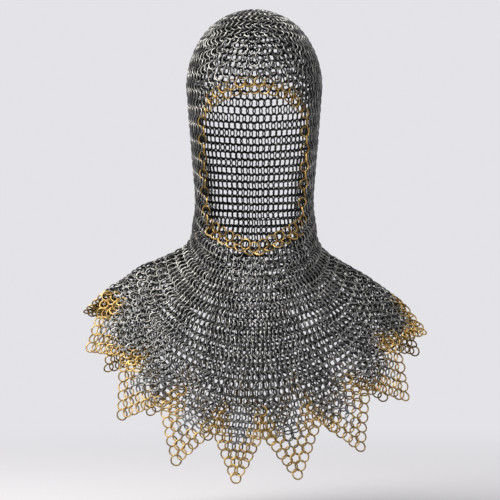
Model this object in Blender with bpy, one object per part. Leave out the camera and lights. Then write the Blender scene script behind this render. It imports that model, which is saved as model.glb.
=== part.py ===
"""Mail coif: a steel hood and mantle of linked rings, edged with brass and cut into dags.

The mail hangs in one supple sheet over a head and shoulders. It is built here as the regions that a
maker weaves one by one and then joins: crown, hood, throat, neck, gores of the mantle, hem and dags.
Every region follows one body form, so all of them meet along the rows and columns of the weave.
The origin is the inside of the crown, where the wearer's head holds the coif up.
Angles run round the body in degrees, from 0 in front through +90 on the +X side. Levels run down the
sheet, from 0 at the top of the crown, and a level follows the rows. Lengths are in millimetres.
"""

import collections
import math

import bmesh
import bpy
from mathutils import Matrix, Vector

MILLIMETRE = 0.001

# Rings and weave
RING_INSIDE_DIAMETER = 9.8
WIRE_DIAMETER = 1.8
RING_SEGMENTS = 8
WIRE_SIDES = 3
RING_LEAN = 8.0
MAIL_THICKNESS = 4.0
MANTLE_ROWS = 19

# Clearances
SEAM = 0.5
EDGING_GAP = 0.8
NOTCH_GAP = 2.5
HINGE_GAP = 0.9

# Face opening, measured at the centres of its edging rings. It narrows towards the chin by the cheeks' draw
FACE_HALF_WIDTH = 57.0
BROW_LEVEL = 1.19
BROW_DROP = 0.4
BROW_INSET = 1.0
CHEEK_TOP_LEVEL = 1.68
CHEEK_BOTTOM_LEVEL = 3.48
CHEEK_DRAW = 4.0
CHIN_LEVEL = 4.21
CHIN_RISE = 0.48
CHIN_INSET = 4.2
CHIN_POINT = 1.0

# How much less than a ring's width the rings of each edging stand apart, so that they hold each other
BROW_LAP = 0.3
CHEEK_LAP = 1.8
CHIN_LAP = 1.4

# Hood panels
CROWN_EDGE_LEVEL = 0.75
HOOD_BACK_HALF_ANGLE = 55.0
NECK_LEVEL = 4.0
COLLAR_LEVEL = 5.0

# How finely the curved panels are divided. Panels that share a seam have the same rows along it
CROWN_COLUMNS = 30
CROWN_ROWS = 5
FACE_COLUMNS = 16
FOREHEAD_ROWS = 3
SIDE_COLUMNS = 5
BACK_COLUMNS = 8
HOOD_ROWS = 10
COLLAR_ROWS = 4
GORE_ROWS = 5

# Dags
DAG_COUNT = 16
DAG_RINGS = 7
DAG_TURN = -6.1
OPEN_TIP_ROWS = 2
TRIM_ROWS = 3
HEM_LEVEL = 7.0
TIP_LEVEL = 8.0
GORE_COUNT = 8
HEM_NAMES = ("hem_front", "hem_right", "hem_back", "hem_left")

Station = collections.namedtuple("Station", "half_width front back left_z right_z front_z back_z")

# Heights at the middle of the mail, below the middle of the crown. The left and right shoulders differ,
# and the hood stands a little wider than the face at every height
TEMPLE = Station(FACE_HALF_WIDTH + 19.0, 95.0, 100.0, -85.0, -85.0, -85.0, -85.0)
CHEEK = Station(FACE_HALF_WIDTH + 14.0, 90.0, 95.0, -147.0, -147.0, -147.0, -147.0)
JAW = Station(FACE_HALF_WIDTH + 8.5, 82.0, 84.0, -209.0, -209.0, -209.0, -209.0)
NECK = Station(FACE_HALF_WIDTH + 10.5, 78.0, 80.0, -241.0, -243.0, -259.0, -242.0)
COLLAR = Station(FACE_HALF_WIDTH + 20.0, 86.0, 88.0, -268.0, -272.0, -313.0, -282.0)
SHOULDER = Station(127.0, 98.0, 100.0, -291.0, -302.0, -397.0, -372.0)
HEM = Station(174.0, 105.0, 105.0, -311.0, -327.0, -482.0, -459.0)
TIP = Station(199.0, 113.0, 113.0, -330.0, -353.0, -531.0, -508.0)
STATIONS = (TEMPLE, CHEEK, JAW, NECK, COLLAR, SHOULDER, HEM, TIP)

# How the rows fall from the shoulder ridge to the front and back
SHOULDER_FULLNESS = 0.85
RIDGE_ROUNDING = 0.12

# How far the mail gathers in front, in degrees at the hem, and how near the middle it does
FRONT_GATHER = 2.6
GATHER_REACH = 10.0

RING_RADIUS = (RING_INSIDE_DIAMETER + WIRE_DIAMETER) / 2
# The wire's polygon section holds as much metal as the round wire
WIRE_SHARE = math.pi / (WIRE_SIDES / 2 * math.sin(2 * math.pi / WIRE_SIDES))
WIRE_REACH = WIRE_DIAMETER / 2 * math.sqrt(WIRE_SHARE)
RING_REACH = RING_RADIUS + WIRE_REACH
SCALLOP_RADIUS = RING_RADIUS + WIRE_DIAMETER / 2
FULL_TURN = 360.0
DAG_STEP = FULL_TURN / DAG_COUNT
ROW_LEVEL = (HEM_LEVEL - COLLAR_LEVEL) / MANTLE_ROWS
LEVEL_STEP = 0.005


def clear_scene():
    for thing in list(bpy.data.objects):
        bpy.data.objects.remove(thing, do_unlink=True)


def metal(name, colour, roughness):
    """A bare metal finish."""
    material = bpy.data.materials.new(name)
    material.use_nodes = True
    shader = material.node_tree.nodes["Principled BSDF"]
    shader.inputs["Base Color"].default_value = (*colour, 1.0)
    shader.inputs["Metallic"].default_value = 1.0
    shader.inputs["Roughness"].default_value = roughness
    return material


# The body form


def fall(cosine):
    """How far a row has fallen from the shoulder ridge, 0, towards the middle of chest or back, 1."""
    full = cosine**SHOULDER_FULLNESS
    rounded = math.hypot(full, RIDGE_ROUNDING) - RIDGE_ROUNDING
    return rounded / (math.hypot(1.0, RIDGE_ROUNDING) - RIDGE_ROUNDING)


def station_at(level):
    """The station at a level: half an ellipsoid over the crown, then a smooth curve through the stations."""
    if level < 1.0:
        turn = level * math.pi / 2
        wide, high = math.sin(turn), 1.0 - math.cos(turn)
        return Station(*(part * wide for part in TEMPLE[:3]), *(part * high for part in TEMPLE[3:]))
    below = min(int(level) - 1, len(STATIONS) - 2)
    share = level - 1 - below
    first, last = STATIONS[below], STATIONS[below + 1]
    before, after = STATIONS[max(below - 1, 0)], STATIONS[min(below + 2, len(STATIONS) - 1)]
    weights = (
        (-share + 2 * share**2 - share**3) / 2,
        (2 - 5 * share**2 + 3 * share**3) / 2,
        (share + 4 * share**2 - 3 * share**3) / 2,
        (share**3 - share**2) / 2,
    )
    around = zip(before, first, last, after)
    return Station(*(sum(w * part for w, part in zip(weights, parts)) for parts in around))


def gathered(angle, level):
    """The angle round the body of a column of the weave, which is drawn towards the middle of the chest."""
    share = min(max((level - COLLAR_LEVEL) / (HEM_LEVEL - COLLAR_LEVEL), 0.0), 1.0)
    front = max(math.cos(math.radians(angle)), 0.0)
    apart = (angle + FULL_TURN / 2) % FULL_TURN - FULL_TURN / 2 - DAG_TURN
    return angle - FRONT_GATHER * share * front * math.tanh(apart / GATHER_REACH)


def smooth_point(angle, level):
    station = station_at(level)
    turn = math.radians(gathered(angle, level))
    sine, cosine = math.sin(turn), math.cos(turn)
    depth, middle_z = (station.front, station.front_z) if cosine > 0 else (station.back, station.back_z)
    side_z = station.right_z if sine > 0 else station.left_z
    height = side_z + (middle_z - side_z) * fall(abs(cosine)) + MAIL_THICKNESS / 2
    return Vector((station.half_width * sine, -depth * cosine, height))


def point(angle, level):
    """A point of the sheet. Towards the hem it flattens between notches, so each dag has a straight root."""
    smooth = smooth_point(angle, level)
    flat = min(max(level - (HEM_LEVEL - 1.0), 0.0), 1.0)
    if flat == 0.0:
        return smooth
    steps = (angle - DAG_TURN) / DAG_STEP + 0.5
    left = DAG_TURN + (math.floor(steps) - 0.5) * DAG_STEP
    share = steps - math.floor(steps)
    chord = smooth_point(left, level).lerp(smooth_point(left + DAG_STEP, level), share)
    return smooth.lerp(chord, flat)


def slope(angle, level):
    """How the sheet runs round the body, per degree, and down it, per level."""
    nudge = 0.01
    round_body = (smooth_point(angle + nudge, level) - smooth_point(angle - nudge, level)) / (2 * nudge)
    upper = max(level - nudge, 0.0)
    down = (smooth_point(angle, level + nudge) - smooth_point(angle, upper)) / (level + nudge - upper)
    return round_body, down


def normal(angle, level):
    """The outward normal."""
    if level == 0.0:
        return Vector((0.0, 0.0, 1.0))
    round_body, down = slope(angle, level)
    return down.cross(round_body).normalized()


def round_by(angle, level, length):
    """The angle a length further round the body."""
    return angle + length / slope(angle, level)[0].length


def down_by(angle, level, length):
    """The level a length further down the sheet."""
    return level + length / slope(angle, level)[1].length


# Edges of the face opening


def cheek_angle(level):
    """The angle of the cheek edging, level with its ends above and below it."""
    held = min(max(level, CHEEK_TOP_LEVEL), CHEEK_BOTTOM_LEVEL)
    drawn = ((held - CHEEK_TOP_LEVEL) / (CHEEK_BOTTOM_LEVEL - CHEEK_TOP_LEVEL)) ** 2
    return math.degrees(math.asin((FACE_HALF_WIDTH - CHEEK_DRAW * drawn) / station_at(held).half_width))


def brow_end():
    """The angle of the brow edging's last ring, just in from the cheek edging."""
    return round_by(cheek_angle(CHEEK_TOP_LEVEL), CHEEK_TOP_LEVEL, -BROW_INSET)


def chin_end():
    return round_by(cheek_angle(CHEEK_BOTTOM_LEVEL), CHEEK_BOTTOM_LEVEL, -CHIN_INSET)


def brow_level(angle):
    return BROW_LEVEL + BROW_DROP * (angle / brow_end()) ** 2


def chin_level(angle):
    return CHIN_LEVEL - CHIN_RISE * abs(angle / chin_end()) ** CHIN_POINT


def beside(curve, angle, length):
    """The level on a line drawn a length below a curve of levels, measured square to it."""
    nudge = 0.5
    round_body, down = slope(angle, curve(angle))
    climb = (curve(angle + nudge) - curve(angle - nudge)) / (2 * nudge) * down.length / round_body.length
    return down_by(angle, curve(angle), length * math.hypot(1.0, climb))


def face_seam(level):
    """The angle where the hood's sides end, just behind the cheek edging."""
    held = min(max(level, CHEEK_TOP_LEVEL), CHEEK_BOTTOM_LEVEL)
    return round_by(cheek_angle(held), held, RING_REACH + EDGING_GAP - SEAM / 2)


def hem_top(angle):
    """The hem's zigzag upper edge: TRIM_ROWS rows higher over a notch than over the middle of a dag."""
    steps = (angle - DAG_TURN) / DAG_STEP
    from_middle = 2 * abs(steps - round(steps))
    return HEM_LEVEL - ROW_LEVEL * (1.0 + TRIM_ROWS * from_middle)


# Solids


def new_object(name, mesh_maker, material, place=None):
    """An object from a bmesh in millimetres, with its origin at a place."""
    origin = place or Vector((0.0, 0.0, 0.0))
    bmesh.ops.translate(mesh_maker, verts=mesh_maker.verts, vec=-origin)
    bmesh.ops.scale(mesh_maker, verts=mesh_maker.verts, vec=(MILLIMETRE,) * 3)
    bmesh.ops.recalc_face_normals(mesh_maker, faces=mesh_maker.faces)
    mesh = bpy.data.meshes.new(name)
    mesh_maker.to_mesh(mesh)
    mesh_maker.free()
    mesh.materials.append(material)
    thing = bpy.data.objects.new(name, mesh)
    thing.location = origin * MILLIMETRE
    bpy.context.collection.objects.link(thing)
    return thing


def shade_round(thing, sharp_from=35.0):
    thing.data.shade_smooth()
    thing.data.set_sharp_from_angle(angle=math.radians(sharp_from))


def shell(name, rows, material, closed=False):
    """A sheet of mail through rows of (angle, level) marks. A row of one mark is a pole."""
    mesh = bmesh.new()
    skins = []
    for side in (0.5, -0.5):
        offset = side * MAIL_THICKNESS
        skins.append([[mesh.verts.new(point(*mark) + offset * normal(*mark)) for mark in row] for row in rows])

    def cells(first, second):
        count = max(len(first), len(second))
        for here in range(count if closed else count - 1):
            after = (here + 1) % count
            corners = [first[min(here, len(first) - 1)], second[min(here, len(second) - 1)]]
            corners += [second[min(after, len(second) - 1)], first[min(after, len(first) - 1)]]
            yield list(dict.fromkeys(corners))

    for skin in skins:
        for upper, lower in zip(skin, skin[1:]):
            for corners in cells(upper, lower):
                mesh.faces.new(corners)
    outer, inner = skins
    ends = [(outer[-1], inner[-1])]
    if len(rows[0]) > 1:
        ends.append((outer[0], inner[0]))
    for first, second in ends:
        for corners in cells(first, second):
            mesh.faces.new(corners)
    if not closed:
        for column in (0, -1):
            edge = [[row[column] for row in skin] for skin in skins]
            for corners in cells(*edge):
                mesh.faces.new(corners)
    thing = new_object(name, mesh, material)
    shade_round(thing)
    return thing


def seamed(rows, closed=False):
    """Rows of marks drawn in by half a seam along every edge."""
    half = SEAM / 2
    drawn = [list(row) for row in rows]
    if not closed:
        for row in drawn:
            row[0] = (round_by(*row[0], half), row[0][1])
            row[-1] = (round_by(*row[-1], -half), row[-1][1])
    if len(drawn[0]) > 1:
        drawn[0] = [(angle, down_by(angle, level, half)) for angle, level in drawn[0]]
    drawn[-1] = [(angle, down_by(angle, level, -half)) for angle, level in drawn[-1]]
    return drawn


def share_out(first, last, steps):
    return [first + (last - first) * step / steps for step in range(steps + 1)]


def band(left, right, columns, top, bottom, steps):
    """Marks between two edges that are angles of the level and two that are levels of the angle."""

    def angle_at(across, level):
        return left(level) + (right(level) - left(level)) * across

    def end(across, edge):
        level = edge(angle_at(across, CHEEK_BOTTOM_LEVEL))
        for _ in range(4):
            level = edge(angle_at(across, level))
        return level

    rows = [[] for _ in range(steps + 1)]
    for across in share_out(0.0, 1.0, columns):
        for row, level in zip(rows, share_out(end(across, top), end(across, bottom), steps)):
            row.append((angle_at(across, level), level))
    return rows


def always(value):
    return lambda _: value


def ring_mesh():
    """One ring, leaning about its own Y axis by the caller: a wire section spun round Z."""
    mesh = bmesh.new()
    section = bmesh.ops.create_circle(mesh, segments=WIRE_SIDES, radius=WIRE_REACH)["verts"]
    stand = Matrix.Translation((RING_RADIUS, 0.0, 0.0)) @ Matrix.Rotation(math.pi / 2, 4, "X")
    bmesh.ops.transform(mesh, matrix=stand, verts=section)
    bmesh.ops.spin(
        mesh, geom=mesh.edges[:], axis=(0, 0, 1), cent=(0, 0, 0), angle=2 * math.pi,
        steps=RING_SEGMENTS, use_merge=True,
    )
    bmesh.ops.remove_doubles(mesh, verts=mesh.verts, dist=WIRE_DIAMETER / 100)
    held = bpy.data.meshes.new("ring")
    mesh.to_mesh(held)
    mesh.free()
    return held


def add_ring(mesh, ring, centre, round_body, down, outward, lean):
    """A copy of the ring in a bmesh, lying in the sheet and leaning about the way down."""
    known = len(mesh.verts)
    mesh.from_mesh(ring)
    mesh.verts.ensure_lookup_table()
    axes = Matrix((round_body, down, outward)).transposed().to_4x4()
    place = Matrix.Translation(centre) @ axes @ Matrix.Rotation(math.radians(lean), 4, "Y")
    bmesh.ops.transform(mesh, matrix=place, verts=mesh.verts[known:])


def fuse(name, meshes, material, place=None):
    """One object from bmeshes whose wires cross, joined where they touch."""
    whole = new_object(name, meshes[0], material, place)
    for count, mesh in enumerate(meshes[1:], 1):
        helper = new_object(f"{name}_links_{count}", mesh, material, place)
        helper.hide_render = True
        helper.display_type = "WIRE"
        join = whole.modifiers.new(f"Links {count}", "BOOLEAN")
        join.operation = "UNION"
        join.solver = "EXACT"
        join.object = helper
    return whole


def spaced(path, first, last, lap):
    """Marks along a path at equal distances, about a ring's width less a lap."""
    fine = 200
    pitch = 2 * RING_RADIUS - lap
    walk = share_out(first, last, fine)
    steps = [(point(*path(b)) - point(*path(a))).length for a, b in zip(walk, walk[1:])]
    reach = [0.0]
    for step in steps:
        reach.append(reach[-1] + step)
    count = max(2, round(reach[-1] / pitch))
    marks = []
    for wanted in share_out(0.0, reach[-1], count):
        here = max(k for k, gone in enumerate(reach) if gone <= wanted + 1e-9)
        here = min(here, fine - 1)
        share = (wanted - reach[here]) / steps[here]
        marks.append(path(walk[here] + (walk[here + 1] - walk[here]) * share))
    return marks


def clear_level(column, level, step, other):
    """The first level along a column, from a level on, whose ring clears the ring at another mark."""
    while (point(*column(level)) - point(*other)).length < 2 * RING_REACH + SEAM:
        level += step
    return level


def edging(name, ring, marks, material):
    """A chain of rings along marks of the sheet, every second ring leaning the other way."""
    chains = [bmesh.new(), bmesh.new()]
    for count, mark in enumerate(marks):
        outward = normal(*mark)
        down = slope(*mark)[1].normalized()
        lean = RING_LEAN if count % 2 else -RING_LEAN
        add_ring(chains[count % 2], ring, point(*mark), down.cross(outward), down, outward, lean)
    return fuse(name, chains, material)


# Dags


class Dag:
    """One dag's flat plane, with x along its straight root, y down it and z outwards."""

    def __init__(self, index):
        self.centre = DAG_TURN + index * DAG_STEP
        self.left = smooth_point(self.centre - DAG_STEP / 2, HEM_LEVEL)
        self.right = smooth_point(self.centre + DAG_STEP / 2, HEM_LEVEL)
        self.middle = (self.left + self.right) / 2
        self.along = (self.right - self.left).normalized()
        hang = smooth_point(self.centre, TIP_LEVEL) - self.middle
        self.down = (hang - hang.dot(self.along) * self.along).normalized()
        self.outward = self.down.cross(self.along)
        reach = 1.0 - RING_REACH / hang.length
        self.tip = Vector((hang.dot(self.along), hang.dot(self.down))) * reach
        self.pitch = (self.right - self.left).length / DAG_RINGS
        self.hinge = self.middle + self.outward * MAIL_THICKNESS / 2

    def world(self, flat, out=0.0):
        return self.middle + self.along * flat[0] + self.down * flat[1] + self.outward * out

    def edge_start(self, side):
        """Where the line through the outermost rings of every row meets the root."""
        return Vector((side * (DAG_RINGS - 1) / 2 * self.pitch, 0.0))

    def outer_ring(self, side, row):
        """The centre of the outermost ring of a row, counted from the root."""
        return self.edge_start(side).lerp(self.tip, row / (DAG_RINGS - 1))


def meet(start, way, other_start, other_way):
    """The crossing of two lines in the plane."""
    turn = way.x * other_way.y - way.y * other_way.x
    gap = other_start - start
    return start + way * ((gap.x * other_way.y - gap.y * other_way.x) / turn)


def slab(dag, outline):
    """A plate as thick as the mail with an outline in the dag's plane."""
    mesh = bmesh.new()
    lower = [mesh.verts.new(dag.world(corner, -MAIL_THICKNESS / 2)) for corner in outline]
    face = mesh.faces.new(lower)
    raised = bmesh.ops.extrude_face_region(mesh, geom=[face])["geom"]
    tops = [part for part in raised if isinstance(part, bmesh.types.BMVert)]
    bmesh.ops.translate(mesh, verts=tops, vec=dag.outward * MAIL_THICKNESS)
    return mesh


def dag_field(dag, name, steel):
    """The steel mail inside the edging."""
    root = Vector((0.0, HINGE_GAP / 2))
    level = Vector((1.0, 0.0))
    edges = []
    for side in (-1, 1):
        start = dag.edge_start(side)
        way = (dag.tip - start).normalized()
        inward = Vector((-way.y, way.x)) * side
        edges.append((start + inward * (RING_REACH + EDGING_GAP), way))
    corners = [meet(root, level, *edges[0]), meet(root, level, *edges[1]), meet(*edges[0], *edges[1])]
    field = new_object(name, slab(dag, corners), steel, dag.hinge)
    return field


def scalloped_side(dag, side):
    """The woven part of a side's edging, with a scallop for each row's outermost ring."""
    start = dag.edge_start(side)
    way = (dag.tip - start).normalized()
    out = Vector((way.y, -way.x)) * side
    rows = range(1, DAG_RINGS - OPEN_TIP_ROWS)
    centres = [dag.outer_ring(side, row) for row in rows]
    pitch = (centres[1] - centres[0]).length
    cusp = math.asin(min(pitch / 2 / SCALLOP_RADIUS, 1.0))
    end = math.asin(min((pitch - RING_RADIUS) / SCALLOP_RADIUS, 1.0))
    inner = start - out * (RING_REACH + EDGING_GAP - SEAM)
    outline = [
        meet(Vector((0.0, HINGE_GAP / 2)), Vector((1.0, 0.0)), inner, way),
        Vector((side * (dag.pitch * DAG_RINGS / 2 - NOTCH_GAP), HINGE_GAP / 2)),
    ]
    for centre in centres:
        turns = [-cusp, -cusp / 3, cusp / 3] if centre != centres[0] else [-cusp / 3, cusp / 3]
        turns += [end] if centre == centres[-1] else []
        outline += [centre + SCALLOP_RADIUS * (math.sin(turn) * way + math.cos(turn) * out) for turn in turns]
    outline.append(meet(centres[-1] + way * SCALLOP_RADIUS * math.sin(end), out, inner, way))
    return outline


def dag_edging(dag, name, ring, brass):
    """Brass down both sides of a dag, ending in three open rings that hold each other at the tip."""
    tip_row = DAG_RINGS - 1
    frame = (dag.along, dag.down, dag.outward)
    sides = slab(dag, scalloped_side(dag, -1))
    other = slab(dag, scalloped_side(dag, 1))
    held = bpy.data.meshes.new("side")
    other.to_mesh(held)
    other.free()
    sides.from_mesh(held)
    bpy.data.meshes.remove(held)
    add_ring(sides, ring, dag.world(dag.outer_ring(1, tip_row)), *frame, RING_LEAN)
    meshes = [sides]
    for side in (-1, 1):
        mesh = bmesh.new()
        add_ring(mesh, ring, dag.world(dag.outer_ring(side, tip_row - 1)), *frame, -RING_LEAN)
        meshes.append(mesh)
    return fuse(name, meshes, brass, dag.hinge)


def build_dag(index, ring, steel, brass):
    """A dag that swings about its root, the empty on its hinge line."""
    dag = Dag(index)
    hinge = bpy.data.objects.new(f"dag_{index + 1:02d}_hinge", None)
    hinge.location = dag.hinge * MILLIMETRE
    bpy.context.collection.objects.link(hinge)
    pieces = (
        dag_field(dag, f"dag_{index + 1:02d}_field", steel),
        dag_edging(dag, f"dag_{index + 1:02d}_edging", ring, brass),
    )
    for piece in pieces:
        piece.parent = hinge
        piece.location = (0.0, 0.0, 0.0)


# Regions


def build_hood(steel):
    round_head = share_out(0.0, FULL_TURN, CROWN_COLUMNS)[:-1]
    crown = [[(0.0, 0.0)]]
    for level in share_out(0.0, CROWN_EDGE_LEVEL, CROWN_ROWS)[1:]:
        crown.append([(angle, level) for angle in round_head])
    shell("hood_crown", seamed(crown, closed=True), steel, closed=True)

    def above_brow(angle):
        held = max(-brow_end(), min(angle, brow_end()))
        return beside(brow_level, held, -RING_REACH - EDGING_GAP + SEAM / 2)

    def minus_seam(level):
        return -face_seam(level)

    forehead = band(minus_seam, face_seam, FACE_COLUMNS, always(CROWN_EDGE_LEVEL), above_brow, FOREHEAD_ROWS)
    shell("hood_forehead", seamed(forehead), steel)
    behind = FULL_TURN / 2 - HOOD_BACK_HALF_ANGLE
    edges = (always(CROWN_EDGE_LEVEL), always(NECK_LEVEL))
    right = band(face_seam, always(behind), SIDE_COLUMNS, *edges, HOOD_ROWS)
    shell("hood_right", seamed(right), steel)
    left = band(always(-behind), minus_seam, SIDE_COLUMNS, *edges, HOOD_ROWS)
    shell("hood_left", seamed(left), steel)
    back = band(always(behind), always(FULL_TURN - behind), BACK_COLUMNS, *edges, HOOD_ROWS)
    shell("hood_back", seamed(back), steel)

    def below_chin(angle):
        held = max(-chin_end(), min(angle, chin_end()))
        return beside(chin_level, held, RING_REACH + EDGING_GAP - SEAM / 2)

    throat = band(minus_seam, face_seam, FACE_COLUMNS, below_chin, always(COLLAR_LEVEL), COLLAR_ROWS)
    shell("throat", seamed(throat), steel)
    edges = (always(NECK_LEVEL), always(COLLAR_LEVEL))
    right = band(face_seam, always(behind), SIDE_COLUMNS, *edges, COLLAR_ROWS)
    shell("neck_right", seamed(right), steel)
    left = band(always(-behind), minus_seam, SIDE_COLUMNS, *edges, COLLAR_ROWS)
    shell("neck_left", seamed(left), steel)
    back = band(always(behind), always(FULL_TURN - behind), BACK_COLUMNS, *edges, COLLAR_ROWS)
    shell("neck_back", seamed(back), steel)


def build_mantle(steel, brass):
    """Gores from the collar to the hem, and the zigzag hem that the dags hang from."""
    dags_in_gore = DAG_COUNT // GORE_COUNT
    for gore in range(GORE_COUNT):
        left = DAG_TURN + (gore * dags_in_gore - 0.5) * DAG_STEP
        right = left + dags_in_gore * DAG_STEP
        columns = 2 * dags_in_gore
        rows = band(always(left), always(right), columns, always(COLLAR_LEVEL), hem_top, GORE_ROWS)
        shell(f"mantle_gore_{gore + 1}", seamed(rows), steel)
    dags_in_hem = DAG_COUNT // len(HEM_NAMES)
    for quarter, name in enumerate(HEM_NAMES):
        left = DAG_TURN + (quarter - 0.5) * dags_in_hem * DAG_STEP
        right = left + dags_in_hem * DAG_STEP
        rows = band(always(left), always(right), 2 * dags_in_hem, hem_top, always(HEM_LEVEL), 1)
        shell(name, seamed(rows), brass)


def build_face_edging(ring, brass):
    brow = spaced(lambda angle: (angle, brow_level(angle)), -brow_end(), brow_end(), BROW_LAP)
    chin = spaced(lambda angle: (angle, chin_level(angle)), -chin_end(), chin_end(), CHIN_LAP)
    edging("brow_edging", ring, brow, brass)
    edging("chin_edging", ring, chin, brass)
    for side, end, name in ((-1, 0, "cheek_edging_left"), (1, -1, "cheek_edging_right")):

        def column(level, side=side):
            return side * cheek_angle(level), level

        first = clear_level(column, brow[end][1], LEVEL_STEP, brow[end])
        last = clear_level(column, chin[end][1], -LEVEL_STEP, chin[end])
        edging(name, ring, spaced(column, first, last, CHEEK_LAP), brass)


def main():
    clear_scene()
    steel = metal("oiled_steel", (0.24, 0.25, 0.26), 0.38)
    brass = metal("brass", (0.62, 0.44, 0.18), 0.32)
    ring = ring_mesh()
    build_hood(steel)
    build_mantle(steel, brass)
    build_face_edging(ring, brass)
    for index in range(DAG_COUNT):
        build_dag(index, ring, steel, brass)


if __name__ == "__main__":
    main()
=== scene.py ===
"""Mail coif: every ring of the hood, mantle and dags, in the rows of a four in one weave, and its stage.

The rings keep the places of the weave but aren't fitted to each other. About two in three hold exactly four
others, most wires cut into each other, and most links from mantle to dags come undone as the dags swing.

Each row of rings follows the body form that the solids have. Angles run round the body in degrees, from 0
in front through +90 on the +X side, and levels run down the sheet from the crown. Lengths on the sheet are
in millimetres, and the finished pieces are in metres.
"""

import bisect
import collections
import math
import random

import bpy
from mathutils import Matrix, Vector


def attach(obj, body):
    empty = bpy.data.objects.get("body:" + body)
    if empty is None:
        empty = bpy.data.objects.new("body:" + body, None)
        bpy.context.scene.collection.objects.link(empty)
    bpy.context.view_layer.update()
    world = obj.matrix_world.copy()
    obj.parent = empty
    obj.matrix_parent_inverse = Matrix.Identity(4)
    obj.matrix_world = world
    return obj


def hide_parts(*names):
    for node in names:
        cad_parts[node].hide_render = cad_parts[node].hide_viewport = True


bl_info = {
    "name": "Mail Coif",
    "version": (1, 0, 0),
    "blender": (4, 5, 0),
    "location": "3D View > Sidebar > Mail Coif",
    "description": "Weaves a mail hood and mantle with a dagged brass edge, ring by ring",
    "category": "Add Mesh",
}

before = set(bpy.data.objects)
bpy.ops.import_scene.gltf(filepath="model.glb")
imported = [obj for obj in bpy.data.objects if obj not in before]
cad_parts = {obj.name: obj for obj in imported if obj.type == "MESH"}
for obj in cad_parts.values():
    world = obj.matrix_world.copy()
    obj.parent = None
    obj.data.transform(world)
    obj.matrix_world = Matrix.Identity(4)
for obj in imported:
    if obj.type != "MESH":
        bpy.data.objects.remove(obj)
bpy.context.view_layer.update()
MILLIMETRE = 0.001
FULL_TURN = 360.0
BODY = "hood_and_mantle"

# The body form, as in the solids
FACE_HALF_WIDTH = 57.0
MAIL_THICKNESS = 4.0
BROW_LEVEL = 1.19
BROW_DROP = 0.4
BROW_INSET = 1.0
CHEEK_TOP_LEVEL = 1.68
CHEEK_BOTTOM_LEVEL = 3.48
CHEEK_DRAW = 4.0
CHIN_LEVEL = 4.21
CHIN_RISE = 0.48
CHIN_INSET = 4.2
CHIN_POINT = 1.0
CROWN_EDGE_LEVEL = 0.75
HOOD_BACK_HALF_ANGLE = 55.0
NECK_LEVEL = 4.0
COLLAR_LEVEL = 5.0
HEM_LEVEL = 7.0
TIP_LEVEL = 8.0
DAG_COUNT = 16
DAG_RINGS = 7
DAG_TURN = -6.1
DAG_STEP = FULL_TURN / DAG_COUNT
GORE_COUNT = 8
HEM_NAMES = ("hem_front", "hem_right", "hem_back", "hem_left")
SHOULDER_FULLNESS = 0.85
RIDGE_ROUNDING = 0.12
FRONT_GATHER = 2.6
GATHER_REACH = 10.0

Station = collections.namedtuple("Station", "half_width front back left_z right_z front_z back_z")
TEMPLE = Station(FACE_HALF_WIDTH + 19.0, 95.0, 100.0, -85.0, -85.0, -85.0, -85.0)
CHEEK = Station(FACE_HALF_WIDTH + 14.0, 90.0, 95.0, -147.0, -147.0, -147.0, -147.0)
JAW = Station(FACE_HALF_WIDTH + 8.5, 82.0, 84.0, -209.0, -209.0, -209.0, -209.0)
NECK = Station(FACE_HALF_WIDTH + 10.5, 78.0, 80.0, -241.0, -243.0, -259.0, -242.0)
COLLAR = Station(FACE_HALF_WIDTH + 20.0, 86.0, 88.0, -268.0, -272.0, -313.0, -282.0)
SHOULDER = Station(127.0, 98.0, 100.0, -291.0, -302.0, -397.0, -372.0)
HEM = Station(174.0, 105.0, 105.0, -311.0, -327.0, -482.0, -459.0)
TIP = Station(199.0, 113.0, 113.0, -330.0, -353.0, -531.0, -508.0)
STATIONS = (TEMPLE, CHEEK, JAW, NECK, COLLAR, SHOULDER, HEM, TIP)

# The weave. Rows are counted down from a ring at the pole of the crown. A place round a row is a share of
# the full turn, counted from a notch between two dags
HEM_COLUMNS = DAG_COUNT * DAG_RINGS
HOOD_COLUMNS = 64
ROUND_ROWS = HOOD_COLUMNS // GORE_COUNT
BROW_ROW = 20
CHIN_ROW = 32
COLLAR_ROW = 39
HEM_ROW = 57
ROW_LEVEL = 0.1055
HEM_ROW_LEVEL = 6.913
FIRST_DAG_ROW = 1.7
# The place of the middle of the front, and how far the face opening reaches on each side of it
MIDDLE = 3.0 / HOOD_COLUMNS
FACE_SHARE = 7.0 / HOOD_COLUMNS
# Rows that hold one ring more in each gore than the row above, which starts both at half a ring's width
INCREASES = (34, 37, 38, 41, 42, 45)

# Half the angle that the weave between the cheeks spreads over, by row
FRONT_SPREAD = ((0, 50.2), (20, 50.2), (32, 56.0), (34, 53.0), (36, 48.0), (38, 43.0), (40, 38.0),
                (44, 31.0), (48, 29.7), (52, 31.0), (57, 35.0))
# Half the angle of the open weave under the chin, by row
OPEN_THROAT = ((32, 60.0), (33, 42.0), (35, 32.0), (37, 23.0), (39, 15.0), (41, 7.0), (43, 0.0),
               (45, -8.0))
# How much closer rings stand beside the open throat, and the angle over which they close up
THROAT_DRAW = 0.42
THROAT_EDGE = 8.0
# How much wider the rings spread in the middle of the forehead than beside it, by row, and how far round
OPEN_FOREHEAD = ((6, 0.0), (10, 0.9), (16, 0.9), (19, 0.0))
FOREHEAD_REACH = 40.0
# How much wider the rings spread over the shoulder ridges than beside them, by row, and the ridges' width
RIDGE_SPREAD = ((0, 0.0), (38, 0.0), (48, 0.9), (57, 0.9))
RIDGE_HALF_WIDTH = 14.0
RIDGE_FADE = 18.0
# How evenly a row's rings share out the angle round the body, by row
EVENED = ((46, 0.0), (HEM_ROW, 1.0))
# The nearest to the crown's pole that a slope is taken
POLE_LEVEL = 0.02
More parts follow.
